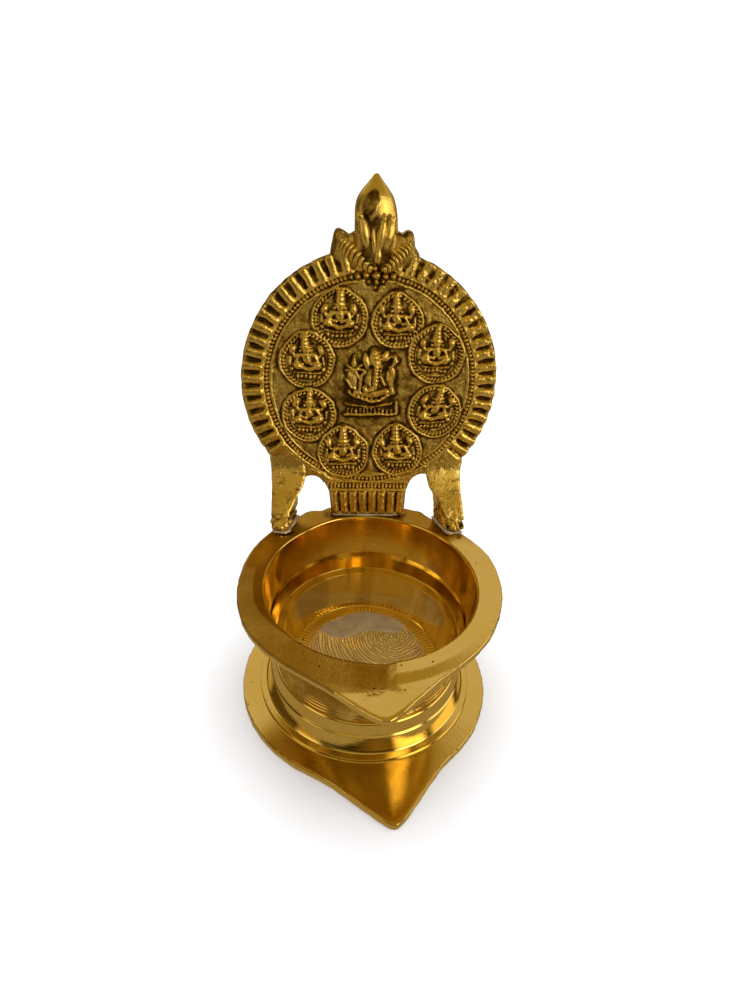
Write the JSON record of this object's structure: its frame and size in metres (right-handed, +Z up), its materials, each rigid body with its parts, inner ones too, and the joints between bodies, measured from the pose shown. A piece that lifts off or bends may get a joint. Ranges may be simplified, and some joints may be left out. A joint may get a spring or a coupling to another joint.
{
  "type": "brass cup oil lamp",
  "caption": "Small brass oil lamp: a round cup with a wick spout on a turned pedestal with a pointed foot, and a relief disc plate with a bud finial leaning back behind it.",
  "frame": {"origin": "centre of the turned axis, on the flat ring that the lamp stands on", "axes": "+Z up along the turned axis; -Y towards the wick spout; +X to the right as the relief is seen from the front"},
  "size_m": [0.0631, 0.0869, 0.1153],
  "materials": {
    "turned_brass": "turned and polished, with fine lathe lines",
    "pedestal_brass": "turned and polished, the nose brushed",
    "cast_brass": "as cast, buffed on the high parts and dark in the recesses",
    "rivet_brass": "ground flush with the cup's floor",
    "solder": "dull grey tin solder"
  },
  "bodies": {
    "root": {"oil_cup": "turned_brass", "pedestal_base": "pedestal_brass", "back_plate": "cast_brass", "centre_rivet": "rivet_brass", "cup_floor_solder": "solder", "left_leg_solder": "solder", "right_leg_solder": "solder", "stem_solder": "solder"}
  },
  "joints": []
}
